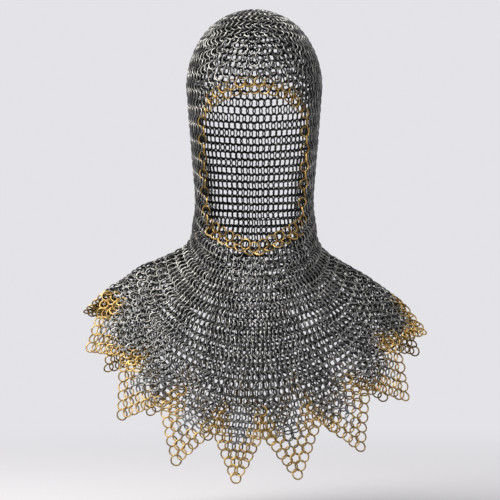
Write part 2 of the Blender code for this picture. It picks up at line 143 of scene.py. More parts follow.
# How far a ring leans out of the sheet, by the distance to the next ring in its row
LEAN = ((3.6, 48.0), (4.5, 42.0), (5.5, 35.0), (6.5, 26.0), (7.5, 16.0), (9.9, 12.0), (11.3, 9.0))
# Rows this far apart hold their rings flat. Closer rows tilt them by a share of the slack that they leave
TAUT_ROWS = 8.4
MOST_SLACK = 30.0
TILT_SHARE = 0.35
# How far the second row under the chin tips over, and how the free edges of the cheeks lean and curl in
CHIN_TILT = 50.0
CHEEK_LEAN = 26.0
CHEEK_CURL = 4.0

# How many columns the brass reaches on each side of the middle: the cheeks' edge, the row at brow and chin,
# and the row behind that
CHEEK_COLUMNS = 7.6
EDGE_COLUMNS = 7.1
SECOND_EDGE_COLUMNS = 6.1
# How many rings from a notch the brass of the hem reaches, from its lowest row up
HEM_BRASS = (1.6, 1.1, 0.6, 0.1)
# How many rings wide the brass is on each side of a dag
DAG_BRASS = 2
# How far the seams beside the face stand off the cheek edging, and the level between forehead and throat
CHEEK_SEAM = 7.0
FACE_MIDDLE_LEVEL = 3.0
# How far short of a dag's tip the middle of its last ring stays
TIP_REACH = 7.0

# The play that rings have, in degrees and millimetres. A dag's rings turn by so much for each millimetre
RING_TURN_PLAY = 2.5
RING_SHIFT_PLAY = 0.15
FIRST_DAG_ROW_PLAY = 0.1
DAG_PLAY = 0.25
DAG_LEAN_PLAY = 20.0
DAG_TILT_PLAY = 24.0
SHEET_SEED = 11
DAG_SEED = 23

Mark = collections.namedtuple("Mark", "place turn outward tone")


# The body form


def between(table, value):
    """A value read off a table of steps, with straight lines between them."""
    if value <= table[0][0]:
        return table[0][1]
    for (x0, y0), (x1, y1) in zip(table, table[1:]):
        if value <= x1:
            return y0 + (y1 - y0) * (value - x0) / (x1 - x0)
    return table[-1][1]


def fall(cosine):
    """How far a row has fallen from the shoulder ridge, 0, towards the middle of chest or back, 1."""
    full = cosine**SHOULDER_FULLNESS
    rounded = math.hypot(full, RIDGE_ROUNDING) - RIDGE_ROUNDING
    return rounded / (math.hypot(1.0, RIDGE_ROUNDING) - RIDGE_ROUNDING)


def station_at(level):
    """The station at a level: half an ellipsoid over the crown, then a smooth curve through the stations."""
    if level < 1.0:
        turn = level * math.pi / 2
        wide, high = math.sin(turn), 1.0 - math.cos(turn)
        return Station(*(part * wide for part in TEMPLE[:3]), *(part * high for part in TEMPLE[3:]))
    below = min(int(level) - 1, len(STATIONS) - 2)
    share = level - 1 - below
    first, last = STATIONS[below], STATIONS[below + 1]
    before, after = STATIONS[max(below - 1, 0)], STATIONS[min(below + 2, len(STATIONS) - 1)]
    weights = (
        (-share + 2 * share**2 - share**3) / 2,
        (2 - 5 * share**2 + 3 * share**3) / 2,
        (share + 4 * share**2 - 3 * share**3) / 2,
        (share**3 - share**2) / 2,
    )
    around = zip(before, first, last, after)
    return Station(*(sum(w * part for w, part in zip(weights, parts)) for parts in around))


def from_front(angle):
    """An angle counted from the front, between -180 and 180 degrees."""
    return (angle + FULL_TURN / 2) % FULL_TURN - FULL_TURN / 2


def gathered(angle, level):
    """The angle round the body of a column of the weave, which is drawn towards the middle of the chest."""
    share = min(max((level - COLLAR_LEVEL) / (HEM_LEVEL - COLLAR_LEVEL), 0.0), 1.0)
    front = max(math.cos(math.radians(angle)), 0.0)
    apart = from_front(angle) - DAG_TURN
    return angle - FRONT_GATHER * share * front * math.tanh(apart / GATHER_REACH)


def smooth_point(angle, level):
    station = station_at(level)
    turn = math.radians(gathered(angle, level))
    sine, cosine = math.sin(turn), math.cos(turn)
    depth, middle_z = (station.front, station.front_z) if cosine > 0 else (station.back, station.back_z)
    side_z = station.right_z if sine > 0 else station.left_z
    height = side_z + (middle_z - side_z) * fall(abs(cosine)) + MAIL_THICKNESS / 2
    return Vector((station.half_width * sine, -depth * cosine, height))


def point(angle, level):
    """A point of the sheet. Towards the hem it flattens between notches, so each dag has a straight root."""
    smooth = smooth_point(angle, level)
    flat = min(max(level - (HEM_LEVEL - 1.0), 0.0), 1.0)
    if flat == 0.0:
        return smooth
    steps = (angle - DAG_TURN) / DAG_STEP + 0.5
    left = DAG_TURN + (math.floor(steps) - 0.5) * DAG_STEP
    share = steps - math.floor(steps)
    chord = smooth_point(left, level).lerp(smooth_point(left + DAG_STEP, level), share)
    return smooth.lerp(chord, flat)


def slope(angle, level):
    """How the sheet runs round the body, per degree, and down it, per level."""
    nudge = 0.01
    round_body = (smooth_point(angle + nudge, level) - smooth_point(angle - nudge, level)) / (2 * nudge)
    upper = max(level - nudge, 0.0)
    down = (smooth_point(angle, level + nudge) - smooth_point(angle, upper)) / (level + nudge - upper)
    return round_body, down


def round_by(angle, level, length):
    return angle + length / slope(angle, level)[0].length


def cheek_angle(level):
    """The angle of the cheek edging."""
    held = min(max(level, CHEEK_TOP_LEVEL), CHEEK_BOTTOM_LEVEL)
    drawn = ((held - CHEEK_TOP_LEVEL) / (CHEEK_BOTTOM_LEVEL - CHEEK_TOP_LEVEL)) ** 2
    return math.degrees(math.asin((FACE_HALF_WIDTH - CHEEK_DRAW * drawn) / station_at(held).half_width))


BROW_END = round_by(cheek_angle(CHEEK_TOP_LEVEL), CHEEK_TOP_LEVEL, -BROW_INSET)
CHIN_END = round_by(cheek_angle(CHEEK_BOTTOM_LEVEL), CHEEK_BOTTOM_LEVEL, -CHIN_INSET)

# The levels of the brow row and the chin row beside and behind the face, by angle
BROW_BEHIND = ((90.0, 1.48), (135.0, 1.53), (180.0, 1.55))
CHIN_BEHIND = ((90.0, 3.24), (135.0, 3.3), (180.0, 3.35))
# How much further apart the crown's rows are near the brow row than near the pole
CROWN_DRAW = ((0.0, 0.0), (35.0, 0.05), (60.0, 0.25), (110.0, 0.25), (180.0, 0.05))


def brow_level(angle):
    """The level of the brow row, all the way round the head."""
    apart = abs(from_front(angle))
    if apart < BROW_END:
        return BROW_LEVEL + BROW_DROP * (apart / BROW_END) ** 2
    return between(((BROW_END, BROW_LEVEL + BROW_DROP), *BROW_BEHIND), apart)


def chin_level(angle):
    """The level of the chin row, all the way round the neck."""
    apart = abs(from_front(angle))
    if apart < CHIN_END:
        return CHIN_LEVEL - CHIN_RISE * (apart / CHIN_END) ** CHIN_POINT
    return between(((CHIN_END, CHIN_LEVEL - CHIN_RISE), *CHIN_BEHIND), apart)


# The weave


def rows_down(angle):
    """The level of every row of the hood along one meridian, evenly spaced in each zone but the crown."""
    fine = 24
    levels = []
    zones = ((0.0, brow_level(angle), BROW_ROW), (brow_level(angle), chin_level(angle), CHIN_ROW - BROW_ROW),
             (chin_level(angle), HEM_ROW_LEVEL - (HEM_ROW - COLLAR_ROW) * ROW_LEVEL, COLLAR_ROW - CHIN_ROW))
    for top, bottom, rows in zones:
        walk = [top + (bottom - top) * step / fine for step in range(fine + 1)]
        places = [smooth_point(angle, level) for level in walk]
        gone = [0.0]
        for a, b in zip(places, places[1:]):
            gone.append(gone[-1] + (b - a).length)
        draw = between(CROWN_DRAW, abs(from_front(angle))) if top == 0.0 else 0.0
        for row in range(rows):
            part = row / rows
            wanted = gone[-1] * (part * (1.0 - draw) + part**2 * draw)
            here = min(bisect.bisect_right(gone, wanted) - 1, fine - 1)
            share = (wanted - gone[here]) / (gone[here + 1] - gone[here])
            levels.append(walk[here] + (walk[here + 1] - walk[here]) * share)
    return levels


MERIDIAN_STEP = 3.0
MERIDIANS = [rows_down(step * MERIDIAN_STEP) for step in range(round(FULL_TURN / MERIDIAN_STEP))]


def row_level(row, angle):
    """The level of a row at an angle."""
    if row >= COLLAR_ROW:
        return HEM_ROW_LEVEL - (HEM_ROW - row) * ROW_LEVEL
    steps = angle % FULL_TURN / MERIDIAN_STEP
    here = int(steps) % len(MERIDIANS)
    after = (here + 1) % len(MERIDIANS)
    share = steps - int(steps)
    return MERIDIANS[here][row] * (1 - share) + MERIDIANS[after][row] * share


def row_point(row, angle):
    return point(angle, row_level(row, angle))


def ridge(angle):
    """1 on the shoulder ridges, 0 well before and behind them."""
    apart = abs(abs(from_front(angle)) - FULL_TURN / 4)
    return 1.0 if apart < RIDGE_HALF_WIDTH else max(0.0, 1.0 - (apart - RIDGE_HALF_WIDTH) / RIDGE_FADE)


def spread(row):
    """Angles and places round a row, as two lists that rise together: the front, then the back."""
    half = between(FRONT_SPREAD, row)
    if BROW_ROW < row < CHIN_ROW:
        half = cheek_angle(row_level(row, FRONT_SPREAD[0][1]))
    share = FACE_SHARE
    if row < ROUND_ROWS:
        share = half / FULL_TURN + (FACE_SHARE - half / FULL_TURN) * row / ROUND_ROWS
    evened = between(EVENED, row)
    middle = (MIDDLE * FULL_TURN + DAG_TURN - DAG_STEP / 2) * evened
    opened = between(OPEN_THROAT, row)
    over_brow = between(OPEN_FOREHEAD, row)
    over_ridge = between(RIDGE_SPREAD, row)
    angles, places = [], []
    fine = 96
    spans = ((middle - half, middle + half, MIDDLE - share, MIDDLE + share),
             (middle + half, middle + FULL_TURN - half, MIDDLE + share, MIDDLE + 1.0 - share))
    for start, stop, first, last in spans:
        walk = [start + (stop - start) * step / fine for step in range(fine + 1)]
        points = [row_point(row, angle) for angle in walk]
        gone = [0.0]
        for count, (a, b) in enumerate(zip(points, points[1:])):
            angle = (walk[count] + walk[count + 1]) / 2
            aside = abs(angle - middle)
            wide = 1.0 + over_ridge * ridge(angle) + over_brow * max(0.0, 1.0 - (aside / FOREHEAD_REACH) ** 2)
            if first < MIDDLE and row > CHIN_ROW:
                wide = 1.0 - THROAT_DRAW * min(max((aside - opened) / THROAT_EDGE, 0.0), 1.0)
            gone.append(gone[-1] + (b - a).length / wide)
        for step in range(fine + 1):
            drawn = gone[step] / gone[-1] if gone[-1] else step / fine
            part = drawn * (1 - evened) + step / fine * evened
            angles.append(walk[step])
            places.append(first + (last - first) * part)
    return angles, places


SPREADS = {row: spread(row) for row in range(HEM_ROW + 1)}


def place_angle(row, place):
    """The angle of a place round a row."""
    angles, places = SPREADS[row]
    place = (place - places[0]) % 1.0 + places[0]
    here = min(max(bisect.bisect_right(places, place) - 1, 0), len(places) - 2)
    reach = places[here + 1] - places[here]
    share = (place - places[here]) / reach if reach else 0.0
    return angles[here] + (angles[here + 1] - angles[here]) * share


def row_rings(row):
    """How many rings a whole row has, and whether it starts half a ring's width on."""
    if row < ROUND_ROWS:
        return GORE_COUNT * row, True
    added = sum(row >= increase for increase in INCREASES)
    count = HOOD_COLUMNS + GORE_COUNT * added
    return count, (row + added) % 2 == 1


def places_of(row):
    """The places of a row's rings. The face opening is left out."""
    count, on_half = row_rings(row)
    if row == 0:
        return [MIDDLE]
    places = [(ring + (0.5 if on_half else 0.0)) / count for ring in range(count)]
    if BROW_ROW < row < CHIN_ROW:
        return [place for place in places if from_middle(place) > FACE_SHARE - 0.1 / HOOD_COLUMNS]
    return places


def from_middle(place):
    """How far a place is from the middle of the front."""
    return abs((place - MIDDLE + 0.5) % 1.0 - 0.5)


def from_notch(place):
    """How many rings of the hem a place is from the nearest notch."""
    column = place * HEM_COLUMNS
    return abs((column + DAG_RINGS / 2) % DAG_RINGS - DAG_RINGS / 2)


def ring_turn(round_body, down, outward, lean, tilt):
    """The turn of a ring that lies in the sheet, leans about the way down and tilts about its row."""
    axes = Matrix((round_body, down, outward)).transposed()
    turned = axes @ Matrix.Rotation(math.radians(tilt), 3, "X") @ Matrix.Rotation(math.radians(lean), 3, "Y")
    return turned.to_quaternion()


def loose(chance, much):
    """A small part of the play that a ring has."""
    return chance.uniform(-much, much)


def sheet_ring(row, place_round, chance):
    """The mark of a ring of the hood or mantle."""
    angle = place_angle(row, place_round)
    level = row_level(row, angle)
    place = point(angle, level)
    half = 0.5 / max(row_rings(row)[0], 1)
    before = row_point(row, place_angle(row, place_round - half))
    after = row_point(row, place_angle(row, place_round + half))
    pitch = (after - before).length
    upper = row_point(max(row - 1, 0), angle)
    lower = row_point(min(row + 1, HEM_ROW), angle)
    apart = (lower - upper).length / (2 if 0 < row < HEM_ROW else 1)
    down = slope(angle, max(level, POLE_LEVEL))[1].normalized()
    along = (after - before).normalized() if row else slope(angle, POLE_LEVEL)[0].normalized()
    outward = down.cross(along).normalized()
    down = along.cross(outward)
    lean = between(LEAN, pitch) * (1 if row % 2 else -1)
    slack = math.degrees(math.acos(min(apart / TAUT_ROWS, 1.0)))
    tilt = min(slack, MOST_SLACK) * TILT_SHARE
    if brass_node(row, place_round) == "chin_edging" and row > CHIN_ROW:
        tilt = CHIN_TILT
    if BROW_ROW < row < CHIN_ROW and from_middle(place_round) * HOOD_COLUMNS < CHEEK_COLUMNS:
        lean = math.copysign(CHEEK_LEAN, lean) + (CHEEK_CURL if place_round < 0.5 else -CHEEK_CURL)
    lean, tilt = lean + loose(chance, RING_TURN_PLAY), tilt + loose(chance, RING_TURN_PLAY)
    turn = ring_turn(along, down, outward, lean, tilt)
    place = place + along * loose(chance, RING_SHIFT_PLAY) + down * loose(chance, RING_SHIFT_PLAY)
    return angle, level, Mark(place, turn, outward, chance.random())


def node_at(angle, level):
    """The name of the solid whose part of the sheet a ring of steel is in."""
    apart = abs(from_front(angle))
    side = "right" if angle % FULL_TURN < FULL_TURN / 2 else "left"
    if level < CROWN_EDGE_LEVEL:
        return "hood_crown"
    seam = round_by(cheek_angle(level), max(level, 1.0), CHEEK_SEAM)
    if level < NECK_LEVEL and apart >= seam:
        return "hood_back" if apart > FULL_TURN / 2 - HOOD_BACK_HALF_ANGLE else f"hood_{side}"
    if apart < seam:
        if level < FACE_MIDDLE_LEVEL:
            return "hood_forehead"
        if level < COLLAR_LEVEL:
            return "throat"
    elif level < COLLAR_LEVEL:
        return "neck_back" if apart > FULL_TURN / 2 - HOOD_BACK_HALF_ANGLE else f"neck_{side}"
    steps = ((angle - DAG_TURN) / DAG_STEP + 0.5) % DAG_COUNT
    return f"mantle_gore_{int(steps / (DAG_COUNT / GORE_COUNT)) + 1}"


def brass_node(row, place):
    """The name of the brass edging that a ring belongs to, or nothing where it is steel."""
    aside = from_middle(place) * HOOD_COLUMNS
    if row == BROW_ROW and aside < EDGE_COLUMNS or row == BROW_ROW - 1 and aside < SECOND_EDGE_COLUMNS:
        return "brow_edging"
    if row == CHIN_ROW and aside < EDGE_COLUMNS or row == CHIN_ROW + 1 and aside < SECOND_EDGE_COLUMNS:
        return "chin_edging"
    if BROW_ROW < row < CHIN_ROW and aside < CHEEK_COLUMNS:
        return "cheek_edging_right" if place < 0.5 else "cheek_edging_left"
    above_hem = HEM_ROW - row
    if above_hem < len(HEM_BRASS) and from_notch(place) < HEM_BRASS[above_hem]:
        dags_in_hem = DAG_COUNT // len(HEM_NAMES)
        quarter = int((place * DAG_COUNT + (dags_in_hem - 1) / 2) % DAG_COUNT / dags_in_hem)
        return HEM_NAMES[quarter]
    return None


class Dag:
    """One dag's flat plane, with x along its straight root, y down it and z outwards."""

    def __init__(self, index):
        centre = DAG_TURN + index * DAG_STEP
        left = smooth_point(centre - DAG_STEP / 2, HEM_LEVEL)
        right = smooth_point(centre + DAG_STEP / 2, HEM_LEVEL)
        self.middle = (left + right) / 2
        self.along = (right - left).normalized()
        hang = smooth_point(centre, TIP_LEVEL) - self.middle
        self.down = (hang - hang.dot(self.along) * self.along).normalized()
        self.outward = self.down.cross(self.along)
        reach = 1.0 - TIP_REACH / hang.length
        self.tip = Vector((hang.dot(self.along), hang.dot(self.down))) * reach
        self.pitch = (right - left).length / DAG_RINGS


def dag_rings(index, chance):
    """The marks of a dag's rings: its steel field and its brass edging."""
    dag = Dag(index)
    field, edging = [], []
    for row in range(1, DAG_RINGS):
        rings = DAG_RINGS - row
        y = FIRST_DAG_ROW + (dag.tip.y - FIRST_DAG_ROW) * (row - 1) / (DAG_RINGS - 2)
        lean = between(LEAN, dag.pitch) * (1 if (HEM_ROW + row) % 2 else -1)
        play = FIRST_DAG_ROW_PLAY if row == 1 else DAG_PLAY
        for ring in range(rings):
            x = dag.tip.x * y / dag.tip.y + (ring - (rings - 1) / 2) * dag.pitch
            place = dag.middle + dag.along * (x + loose(chance, play)) + dag.down * (y + loose(chance, play))
            leant, tilt = lean + loose(chance, DAG_LEAN_PLAY * play), loose(chance, DAG_TILT_PLAY * play)
            turn = ring_turn(dag.along, dag.down, dag.outward, leant, tilt)
            inside = min(ring, rings - 1 - ring) >= DAG_BRASS
            (field if inside else edging).append(Mark(place, turn, dag.outward, chance.random()))
    return field, edging


def weave():
    """The marks of every ring of hood and mantle, by the solid that they stand for."""
    chance = random.Random(SHEET_SEED)
    regions = collections.defaultdict(list)
    for row in range(HEM_ROW + 1):
        for place in places_of(row):
            angle, level, mark = sheet_ring(row, place, chance)
            regions[brass_node(row, place) or node_at(angle, level)].append(mark)
    return regions


# Making pieces


def deselect():
    if bpy.context.object and bpy.context.object.mode != "OBJECT":
        bpy.ops.object.mode_set(mode="OBJECT")
    bpy.ops.object.select_all(action="DESELECT")


def bend_ring(mail):
    """One ring of round wire, to be copied to every mark."""
    deselect()
    bpy.ops.mesh.primitive_torus_add(
        major_radius=(mail.ring_inside_diameter + mail.wire_diameter) / 2 * MILLIMETRE,
        minor_radius=mail.wire_diameter / 2 * MILLIMETRE,
        major_segments=mail.bends,
        minor_segments=mail.wire_sides,
    )
    bpy.ops.object.shade_smooth()
    ring = bpy.context.object
    ring.name = "one_ring"
    return ring


def weaving_modifier(ring):
    """Nodes that set a turned copy of the ring at every mark and note how far out each of its points is."""
    group = bpy.data.node_groups.new("Set rings at marks", "GeometryNodeTree")
    group.interface.new_socket("Geometry", in_out="INPUT", socket_type="NodeSocketGeometry")
    group.interface.new_socket("Geometry", in_out="OUTPUT", socket_type="NodeSocketGeometry")
    nodes, links = group.nodes, group.links
    marks = nodes.new("NodeGroupInput")
    woven = nodes.new("NodeGroupOutput")
    pattern = nodes.new("GeometryNodeObjectInfo")
    pattern.inputs["Object"].default_value = ring
    turn = nodes.new("GeometryNodeInputNamedAttribute")
    turn.data_type = "QUATERNION"
    turn.inputs["Name"].default_value = "turn"
    copies = nodes.new("GeometryNodeInstanceOnPoints")
    real = nodes.new("GeometryNodeRealizeInstances")
    links.new(marks.outputs[0], copies.inputs["Points"])
    links.new(pattern.outputs["Geometry"], copies.inputs["Instance"])
    links.new(turn.outputs["Attribute"], copies.inputs["Rotation"])
    links.new(copies.outputs["Instances"], real.inputs["Geometry"])
    position = nodes.new("GeometryNodeInputPosition")
    apart = nodes.new("ShaderNodeVectorMath")
    apart.operation = "SUBTRACT"
    rise = nodes.new("ShaderNodeVectorMath")
    rise.operation = "DOT_PRODUCT"
    noted = nodes.new("GeometryNodeStoreNamedAttribute")
    noted.inputs["Name"].default_value = "rise"
    centre, outward = named_vector(nodes, "centre"), named_vector(nodes, "outward")
    links.new(position.outputs["Position"], apart.inputs[0])
    links.new(centre.outputs["Attribute"], apart.inputs[1])
    links.new(apart.outputs["Vector"], rise.inputs[0])
    links.new(outward.outputs["Attribute"], rise.inputs[1])
    links.new(real.outputs["Geometry"], noted.inputs["Geometry"])
    links.new(rise.outputs["Value"], noted.inputs["Value"])
    links.new(noted.outputs["Geometry"], woven.inputs[0])
    return group


def named_vector(nodes, name):
    named = nodes.new("GeometryNodeInputNamedAttribute")
    named.data_type = "FLOAT_VECTOR"
    named.inputs["Name"].default_value = name
    return named


def weave_piece(tools, marks, slot, body, node):
    """A piece of mail in a solid's place: its marks as a mesh of points, then a ring made real at each."""
    name = f"{node}_rings"
    mesh = bpy.data.meshes.new(name)
    mesh.from_pydata([tuple(mark.place * MILLIMETRE) for mark in marks], [], [])
    turns = mesh.attributes.new("turn", "QUATERNION", "POINT")
    turns.data.foreach_set("value", [part for mark in marks for part in mark.turn])
    tones = mesh.attributes.new("tone", "FLOAT", "POINT")
    tones.data.foreach_set("value", [mark.tone for mark in marks])
    centres = mesh.attributes.new("centre", "FLOAT_VECTOR", "POINT")
    centres.data.foreach_set("vector", [part for mark in marks for part in mark.place * MILLIMETRE])
    ways = mesh.attributes.new("outward", "FLOAT_VECTOR", "POINT")
    ways.data.foreach_set("vector", [part for mark in marks for part in mark.outward])
    piece = bpy.data.objects.new(name, mesh)
    bpy.context.scene.collection.objects.link(piece)
    deselect()
    piece.select_set(True)
    bpy.context.view_layer.objects.active = piece
    rings = piece.modifiers.new("Rings", "NODES")
    rings.node_group = tools["group"]
    bpy.ops.object.modifier_apply(modifier=rings.name)
    for used in ("turn", "centre", "outward"):
        piece.data.attributes.remove(piece.data.attributes[used])
    piece.data.materials.clear()
    piece.data.materials.append(tools[slot])
    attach(piece, body)
    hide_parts(node)


# Finishes

# How light the darkest ring is, and the tone at which a ring has the plain colour of its metal
DARKEST_RING = 0.62
PLAIN_RING = 0.55
# Stains and fine marks: how often they come in a metre, the noise at which they begin and end, their strength
# and the marks' depth
STAINS_A_METRE = 260.0
MARKS_A_METRE = 2600.0
STAIN_FROM, STAIN_TO = 0.35, 0.6
ROUGH_FROM, ROUGH_TO = 0.3, 0.7
STAIN_STRENGTH = 0.8
MARK_STRENGTH = 0.25
MARK_DEPTH = 0.0001
# Between these distances out of the sheet's middle, in metres, a ring goes from its darkest painted shade, on
# its inner side, to its full colour
SHADED_RISE, LIT_RISE = -0.001, 0.0018
# How much rougher stained wire is than its finish says, and how much smoother clean wire is
ROUGHER, SMOOTHER = 0.12, 0.06

# Each metal: how light a worn ring is, its colour seen aslant, its stain, and how light its inner side is in
# painted shade
Metal = collections.namedtuple("Metal", "worn aslant stain depth")
STEEL = Metal(1.7, (0.42, 0.44, 0.52), (0.42, 0.43, 0.47), 0.22)
BRASS = Metal(1.5, (0.8, 0.75, 0.6), (0.55, 0.42, 0.3), 0.45)


def start_finish(name):
    finish = bpy.data.materials.new(name)
    finish.use_nodes = True
    return finish, finish.node_tree.nodes, finish.node_tree.links, finish.node_tree.nodes["Principled BSDF"]


def ramp(nodes, stops):
    band = nodes.new("ShaderNodeValToRGB")
    while len(band.color_ramp.elements) < len(stops):
        band.color_ramp.elements.new(0.5)
    for element, (position, colour) in zip(band.color_ramp.elements, stops):
        element.position = position
        element.color = (*colour, 1.0)
    return band


def noise(nodes, links, scale, detail=2.0):
    spot = nodes.new("ShaderNodeTexCoord")
    grain = nodes.new("ShaderNodeTexNoise")
    grain.inputs["Scale"].default_value = scale
    grain.inputs["Detail"].default_value = detail
    links.new(spot.outputs["Object"], grain.inputs["Vector"])
    return grain


def shade(colour, much):
    return tuple(part * much for part in colour)


def metal_finish(name, colour, roughness, metal):
    """Drawn wire: each ring has its own tone, with stains, fine marks, and painted shade on its inner side,
    deep in the sheet.
    """
    finish, nodes, links, shader = start_finish(name)
    tone = nodes.new("ShaderNodeAttribute")
    tone.attribute_name = "tone"
    dark, worn = shade(colour, DARKEST_RING), shade(colour, metal.worn)
    own = ramp(nodes, ((0.0, dark), (PLAIN_RING, colour), (1.0, worn)))
    links.new(tone.outputs["Fac"], own.inputs["Fac"])
    patches = noise(nodes, links, STAINS_A_METRE, 3.0)
    stains = ramp(nodes, ((STAIN_FROM, metal.stain), (STAIN_TO, (1.0, 1.0, 1.0))))
    links.new(patches.outputs["Fac"], stains.inputs["Fac"])
    mixed = nodes.new("ShaderNodeMix")
    mixed.data_type = "RGBA"
    mixed.blend_type = "MULTIPLY"
    mixed.inputs["Factor"].default_value = STAIN_STRENGTH
    links.new(own.outputs["Color"], mixed.inputs["A"])
    links.new(stains.outputs["Color"], mixed.inputs["B"])
    # Painted shade: each ring's colour darkens towards its inner side, deep in the sheet, where its
    # neighbours would shade it
    rise = nodes.new("ShaderNodeAttribute")
    rise.attribute_name = "rise"
    lit_share = nodes.new("ShaderNodeMapRange")
    lit_share.inputs["From Min"].default_value = SHADED_RISE
    lit_share.inputs["From Max"].default_value = LIT_RISE
    lit_share.inputs["To Min"].default_value = metal.depth
    links.new(rise.outputs["Fac"], lit_share.inputs["Value"])
    shaded_colour = nodes.new("ShaderNodeVectorMath")
    shaded_colour.operation = "SCALE"
    links.new(mixed.outputs["Result"], shaded_colour.inputs[0])
    links.new(lit_share.outputs["Result"], shaded_colour.inputs["Scale"])
    links.new(shaded_colour.outputs["Vector"], shader.inputs["Base Color"])
    shader.inputs["Metallic"].default_value = 1.0
    shader.inputs["Specular Tint"].default_value = (*metal.aslant, 1.0)
    rough = nodes.new("ShaderNodeMapRange")
    rough.inputs["From Min"].default_value = ROUGH_FROM
    rough.inputs["From Max"].default_value = ROUGH_TO
    rough.inputs["To Min"].default_value = roughness + ROUGHER
    rough.inputs["To Max"].default_value = roughness - SMOOTHER
    links.new(patches.outputs["Fac"], rough.inputs["Value"])
    links.new(rough.outputs["Result"], shader.inputs["Roughness"])
    marks = noise(nodes, links, MARKS_A_METRE)
    bump = nodes.new("ShaderNodeBump")
    bump.inputs["Strength"].default_value = MARK_STRENGTH
    bump.inputs["Distance"].default_value = MARK_DEPTH
    links.new(marks.outputs["Fac"], bump.inputs["Height"])
    links.new(bump.outputs["Normal"], shader.inputs["Normal"])
    return finish


class MailSettings(bpy.types.PropertyGroup):
    ring_inside_diameter: bpy.props.FloatProperty(
        name="Ring inside diameter", description="Clear width inside each ring, in millimetres",
        default=9.8, min=4.0, max=16.0)
    wire_diameter: bpy.props.FloatProperty(
        name="Wire diameter", description="Thickness of the wire, in millimetres",
        default=1.8, min=0.8, max=2.5)
    bends: bpy.props.IntProperty(
        name="Ring segments", description="Straight steps that each ring is bent from",
        default=12, min=8, max=24)
    wire_sides: bpy.props.IntProperty(
        name="Wire sides", description="Sides of the wire's section", default=5, min=4, max=8)


class FinishSettings(bpy.types.PropertyGroup):
    steel: bpy.props.FloatVectorProperty(
        name="Steel", description="Colour of the oiled steel rings", subtype="COLOR", size=3,
        default=(0.21, 0.208, 0.194), min=0.0, max=1.0)
    steel_roughness: bpy.props.FloatProperty(
        name="Steel roughness", description="How blurred reflections are in the steel", subtype="FACTOR",
        default=0.34, min=0.1, max=0.9)
    brass: bpy.props.FloatVectorProperty(
        name="Brass", description="Colour of the brass rings", subtype="COLOR", size=3,
        default=(0.44, 0.305, 0.11), min=0.0, max=1.0)
    brass_roughness: bpy.props.FloatProperty(
        name="Brass roughness", description="How blurred reflections are in the brass", subtype="FACTOR",
        default=0.32, min=0.1, max=0.9)


class StageSettings(bpy.types.PropertyGroup):
    backdrop: bpy.props.FloatVectorProperty(
        name="Backdrop", description="Colour of the plain backdrop", subtype="COLOR", size=3,
        default=(0.775, 0.768, 0.799), min=0.0, max=1.0)
    floor_drop: bpy.props.FloatProperty(
        name="Floor below crown", description="How far the floor is below the crown", unit="LENGTH",
        default=0.575, min=0.55, max=2.0)
    camera_distance: bpy.props.FloatProperty(
        name="Camera distance", description="From the camera to the middle of the body", unit="LENGTH",
        default=2.6, min=1.0, max=6.0)
    camera_height: bpy.props.FloatProperty(
        name="Camera height", description="Height of the camera, measured from the crown", unit="LENGTH",
        default=-0.27)
    camera_aside: bpy.props.FloatProperty(
        name="Camera aside", description="How far the camera stands to the right of the middle",
        unit="LENGTH", default=-0.005)
    view_width: bpy.props.FloatProperty(
        name="View width", description="Width of the picture at the middle of the body", unit="LENGTH",
        default=0.575, min=0.3, max=2.0)
    soft_light: bpy.props.FloatProperty(
        name="Soft light", description="Strength of the light from all round",
        default=0.75, min=0.0, max=3.0)
    overhead: bpy.props.FloatProperty(
        name="Overhead light", description="Power of the overhead softbox", unit="POWER",
        default=62.0, min=0.0)
    front_fill: bpy.props.FloatProperty(
        name="Front fill", description="Power of the softbox beside the camera", unit="POWER",
        default=12.0, min=0.0)


# Operators

shared = {}


def kit(context):
    """The ring, the weaving nodes, the marks and the finishes, made once for all pieces."""
    if not shared:
        looks = context.scene.coif_finish
        ring = bend_ring(context.scene.coif_mail)
        shared["ring"] = ring
        shared["group"] = weaving_modifier(ring)
        shared["marks"] = weave()
        shared["oiled_steel"] = metal_finish("oiled_steel", tuple(looks.steel), looks.steel_roughness, STEEL)
        shared["brass"] = metal_finish("brass", tuple(looks.brass), looks.brass_roughness, BRASS)
    return shared


def dress(context, names, slot):
    """Weaves the pieces that stand for the named solids."""
    tools = kit(context)
    for name in names:
        marks = tools["marks"].get(name)
        if not marks:
            raise RuntimeError(f"no ring of the weave falls in {name}")
        weave_piece(tools, marks, slot, BODY, name)


class COIF_OT_hood(bpy.types.Operator):
    """Weave the steel hood from the crown to the chin"""

    bl_idname = "coif.hood"
    bl_label = "Weave Hood"

    def execute(self, context):
        names = ("hood_crown", "hood_forehead", "hood_left", "hood_right", "hood_back")
        dress(context, names, "oiled_steel")
        return {"FINISHED"}


class COIF_OT_neck(bpy.types.Operator):
    """Weave the steel throat and the neck down to the collar line"""

    bl_idname = "coif.neck"
    bl_label = "Weave Throat and Neck"

    def execute(self, context):
        dress(context, ("throat", "neck_left", "neck_right", "neck_back"), "oiled_steel")
        return {"FINISHED"}


class COIF_OT_mantle(bpy.types.Operator):
    """Weave the steel mantle over shoulders, chest and back"""

    bl_idname = "coif.mantle"
    bl_label = "Weave Mantle"

    def execute(self, context):
        dress(context, [f"mantle_gore_{gore + 1}" for gore in range(GORE_COUNT)], "oiled_steel")
        return {"FINISHED"}


class COIF_OT_edgings(bpy.types.Operator):
    """Weave the brass round the face opening and along the hem"""

    bl_idname = "coif.edgings"
    bl_label = "Weave Brass Edgings"

    def execute(self, context):
        face = ("brow_edging", "cheek_edging_left", "cheek_edging_right", "chin_edging")
        dress(context, (*face, *HEM_NAMES), "brass")
        return {"FINISHED"}


